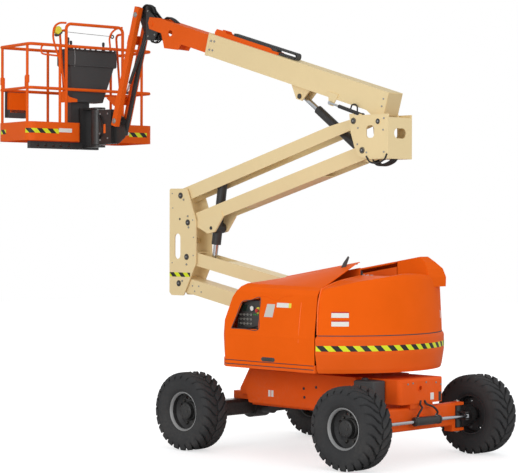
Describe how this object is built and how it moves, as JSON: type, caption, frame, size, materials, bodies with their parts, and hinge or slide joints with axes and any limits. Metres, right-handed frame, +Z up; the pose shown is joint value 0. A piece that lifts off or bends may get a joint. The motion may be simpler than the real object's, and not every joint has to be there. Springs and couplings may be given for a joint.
{
  "type": "articulated boom lift",
  "caption": "Four-wheeled articulated boom lift: turning superstructure, two-stage tower, telescopic boom, hanging jib and railed work platform.",
  "frame": {"origin": "on the ground under the middle of the whole machine's bounding box, in the pose of the picture", "axes": "+X towards the counterweight and steered axle, -X towards the work platform, near side -Y, +Z up"},
  "size_m": [6.5204, 2.34, 5.07],
  "materials": {
    "orange": "gloss",
    "orange_cast": "gloss",
    "orange_cover": "gloss",
    "cream": "gloss",
    "black": "satin",
    "black_plastic": "matte",
    "dark_plastic": "matte",
    "chrome": "polished",
    "engine": "matte",
    "tyre": "matte",
    "rim": "satin"
  },
  "bodies": {
    "chassis": {"chassis_frame": "orange", "drive_axle": "black", "steer_axle": "orange", "steering_cylinder": "black", "chassis_tank": "black_plastic"},
    "knuckle_near": {"knuckle_near": "black"},
    "knuckle_far": {"knuckle_far": "black"},
    "steering_rod": {"steering_rod": "chrome"},
    "turntable": {"turntable_deck": "orange", "counterweight": "orange_cast", "rear_cover": "orange_cover", "ground_panel": "black_plastic", "engine_block": "engine", "tank_block": "black_plastic"},
    "hood_near": {"hood_near": "orange_cover"},
    "hood_far": {"hood_far": "orange_cover"},
    "lower_link_top": {"lower_link_top": "cream"},
    "lower_link_bottom": {"lower_link_bottom": "cream"},
    "lower_upright": {"lower_upright": "cream"},
    "mid_link_top": {"mid_link_top": "cream"},
    "mid_link_bottom": {"mid_link_bottom": "cream"},
    "upper_upright": {"upper_upright": "cream"},
    "tower_barrel": {"tower_barrel": "black"},
    "tower_rod": {"tower_rod": "chrome"},
    "main_boom": {"main_boom": "cream", "hose_tray": "orange", "hose_carrier": "black_plastic"},
    "fly_boom": {"fly_boom": "orange"},
    "lift_barrel": {"lift_barrel": "black"},
    "lift_rod": {"lift_rod": "chrome"},
    "level_barrel": {"level_barrel": "black"},
    "level_rod": {"level_rod": "chrome"},
    "jib_bracket": {"jib_bracket": "black"},
    "jib_arm": {"jib_arm": "orange"},
    "jib_level_link": {"jib_level_link": "black"},
    "jib_barrel": {"jib_barrel": "black"},
    "jib_rod": {"jib_rod": "chrome"},
    "turn_actuator": {"turn_actuator": "black"},
    "platform": {"platform_tray": "orange", "platform_rails": "orange", "platform_mount": "black", "platform_console": "dark_plastic", "document_box": "orange_cover"},
    "gate": {"platform_gate": "orange"},
    "wheel_drive_near": {"tyre_drive_near": "tyre", "rim_drive_near": "rim"},
    "wheel_drive_far": {"tyre_drive_far": "tyre", "rim_drive_far": "rim"},
    "wheel_steer_near": {"tyre_steer_near": "tyre", "rim_steer_near": "rim"},
    "wheel_steer_far": {"tyre_steer_far": "tyre", "rim_steer_far": "rim"}
  },
  "joints": [
    {"name": "drive_near_spin", "type": "hinge", "parent": "chassis", "child": "wheel_drive_near", "pos_m": [0.49521, -1.005, 0.425], "axis": [0, 1, 0], "continuous": true},
    {"name": "drive_far_spin", "type": "hinge", "parent": "chassis", "child": "wheel_drive_far", "pos_m": [0.49521, 1.005, 0.425], "axis": [0, 1, 0], "continuous": true},
    {"name": "steer_near_spin", "type": "hinge", "parent": "knuckle_near", "child": "wheel_steer_near", "pos_m": [2.83521, -1.005, 0.425], "axis": [0, 1, 0], "continuous": true},
    {"name": "steer_far_spin", "type": "hinge", "parent": "knuckle_far", "child": "wheel_steer_far", "pos_m": [2.83521, 1.005, 0.425], "axis": [0, 1, 0], "continuous": true},
    {"name": "steer_near", "type": "hinge", "parent": "chassis", "child": "knuckle_near", "pos_m": [2.83521, -0.665, 0.425], "axis": [0, 0, 1], "range_deg": [-35, 35]},
    {"name": "steer_far", "type": "hinge", "parent": "chassis", "child": "knuckle_far", "pos_m": [2.83521, 0.665, 0.425], "axis": [0, 0, 1], "range_deg": [-35.5, 35.5]},
    {"name": "steering_rod_slide", "type": "slide", "parent": "chassis", "child": "steering_rod", "axis": [0, 1, 0], "range_m": [-0.07675, 0.07675]},
    {"name": "swing", "type": "hinge", "parent": "chassis", "child": "turntable", "pos_m": [1.66521, 0, 0.938], "axis": [0, 0, 1], "range_deg": [-177, 177]},
    {"name": "hood_near_lift", "type": "hinge", "parent": "turntable", "child": "hood_near", "pos_m": [1.66521, -0.308, 1.947], "axis": [-0.9869, 0, -0.1616], "range_deg": [0, 50]},
    {"name": "hood_far_lift", "type": "hinge", "parent": "turntable", "child": "hood_far", "pos_m": [1.66521, 0.308, 1.947], "axis": [0.9869, 0, 0.1616], "range_deg": [0, 50]},
    {"name": "tower_lift", "type": "hinge", "parent": "turntable", "child": "lower_link_top", "pos_m": [2.1744, 0, 1.56142], "axis": [0, 1, 0], "range_deg": [-13.7, 49.3]},
    {"name": "lower_link_turn", "type": "hinge", "parent": "turntable", "child": "lower_link_bottom", "pos_m": [2.04239, 0, 1.25142], "axis": [0, 1, 0], "range_deg": [-14.2, 49.8]},
    {"name": "lower_upright_turn", "type": "hinge", "parent": "lower_link_top", "child": "lower_upright", "pos_m": [-0.52779, 0, 2.072], "axis": [0, 1, 0], "range_deg": [-49.8, 14.2]},
    {"name": "mid_link_top_turn", "type": "hinge", "parent": "lower_upright", "child": "mid_link_top", "pos_m": [-0.63179, 0, 2.784], "axis": [0, -1, 0], "range_deg": [-14.2, 49.8]},
    {"name": "mid_link_bottom_turn", "type": "hinge", "parent": "lower_upright", "child": "mid_link_bottom", "pos_m": [-0.50779, 0, 2.471], "axis": [0, -1, 0], "range_deg": [-14.2, 49.8]},
    {"name": "upper_upright_turn", "type": "hinge", "parent": "mid_link_top", "child": "upper_upright", "pos_m": [2.12034, 0, 3.54723], "axis": [0, -1, 0], "range_deg": [-49.8, 14.2]},
    {"name": "tower_barrel_turn", "type": "hinge", "parent": "mid_link_bottom", "child": "tower_barrel", "pos_m": [-0.13979, 0, 2.408], "axis": [0, 1, 0], "range_deg": [-14.58, 51.17]},
    {"name": "tower_rod_slide", "type": "slide", "parent": "tower_barrel", "child": "tower_rod", "axis": [-0.1519, 0, -0.9884], "range_m": [-0.15331, 0.54648]},
    {"name": "boom_lift", "type": "hinge", "parent": "upper_upright", "child": "main_boom", "pos_m": [2.46521, 0, 3.53], "axis": [0, 1, 0], "range_deg": [-14.1, 55.4]},
    {"name": "lift_barrel_turn", "type": "hinge", "parent": "upper_upright", "child": "lift_barrel", "pos_m": [2.19521, 0, 3.15], "axis": [0, 1, 0], "range_deg": [-13.08, 49.94]},
    {"name": "lift_rod_slide", "type": "slide", "parent": "lift_barrel", "child": "lift_rod", "axis": [-0.8085, 0, 0.5884], "range_m": [-0.10607, 0.41092]},
    {"name": "level_barrel_turn", "type": "hinge", "parent": "upper_upright", "child": "level_barrel", "pos_m": [2.20521, -0.145, 3.606], "axis": [0, 1, 0], "range_deg": [-19.97, 77]},
    {"name": "level_rod_slide", "type": "slide", "parent": "level_barrel", "child": "level_rod", "axis": [-0.9514, 0, 0.3081], "range_m": [-0.03231, 0.12108]},
    {"name": "telescope", "type": "slide", "parent": "main_boom", "child": "fly_boom", "axis": [-0.9583, 0, 0.2857], "range_m": [0, 1.9]},
    {"name": "jib_bracket_turn", "type": "hinge", "parent": "fly_boom", "child": "jib_bracket", "pos_m": [-1.19594, 0, 4.83014], "axis": [0, 1, 0], "range_deg": [-55.9, 14.6]},
    {"name": "jib_lift", "type": "hinge", "parent": "jib_bracket", "child": "jib_arm", "pos_m": [-1.45279, 0, 4.955], "axis": [0, 1, 0], "range_deg": [-2, 124]},
    {"name": "jib_level_link_turn", "type": "hinge", "parent": "jib_bracket", "child": "jib_level_link", "pos_m": [-1.41279, 0.03, 4.805], "axis": [0, 1, 0], "range_deg": [-2.5, 124.5]},
    {"name": "jib_barrel_turn", "type": "hinge", "parent": "jib_bracket", "child": "jib_barrel", "pos_m": [-1.36479, -0.031, 4.7], "axis": [0, 1, 0], "range_deg": [-2.45, 121.57]},
    {"name": "jib_rod_slide", "type": "slide", "parent": "jib_barrel", "child": "jib_rod", "axis": [-0.4622, 0, -0.8868], "range_m": [-0.00981, 0.48598]},
    {"name": "turn_actuator_turn", "type": "hinge", "parent": "jib_arm", "child": "turn_actuator", "pos_m": [-1.83979, 0, 3.7], "axis": [0, 1, 0], "range_deg": [-124.5, 2.5]},
    {"name": "platform_turn", "type": "hinge", "parent": "turn_actuator", "child": "platform", "pos_m": [-2.27479, 0, 3.625], "axis": [0, 0, 1], "range_deg": [-83, 97]},
    {"name": "gate_lift", "type": "slide", "parent": "platform", "child": "gate", "axis": [0, 0, 1], "range_m": [0, 0.35]}
  ],
  "couplings": [
    {"joint": "steer_far", "follows": "steer_near", "ratio": 1},
    {"joint": "steering_rod_slide", "follows": "steer_near", "m_per_rad": 0.124},
    {"joint": "lower_link_turn", "follows": "tower_lift", "ratio": 1},
    {"joint": "lower_upright_turn", "follows": "tower_lift", "ratio": -1},
    {"joint": "mid_link_top_turn", "follows": "tower_lift", "ratio": 1},
    {"joint": "mid_link_bottom_turn", "follows": "tower_lift", "ratio": 1},
    {"joint": "upper_upright_turn", "follows": "tower_lift", "ratio": -1},
    {"joint": "tower_barrel_turn", "follows": "tower_lift", "ratio": 1.0278},
    {"joint": "tower_rod_slide", "follows": "tower_lift", "m_per_rad": 0.63279},
    {"joint": "lift_barrel_turn", "follows": "boom_lift", "ratio": 0.8924},
    {"joint": "lift_rod_slide", "follows": "boom_lift", "m_per_rad": 0.42291},
    {"joint": "level_barrel_turn", "follows": "boom_lift", "ratio": 1.3809},
    {"joint": "level_rod_slide", "follows": "boom_lift", "m_per_rad": 0.12316},
    {"joint": "jib_bracket_turn", "follows": "boom_lift", "ratio": -1},
    {"joint": "jib_level_link_turn", "follows": "jib_lift", "ratio": 1},
    {"joint": "jib_barrel_turn", "follows": "jib_lift", "ratio": 0.9764},
    {"joint": "jib_rod_slide", "follows": "jib_lift", "m_per_rad": 0.22363},
    {"joint": "turn_actuator_turn", "follows": "jib_lift", "ratio": -1}
  ]
}
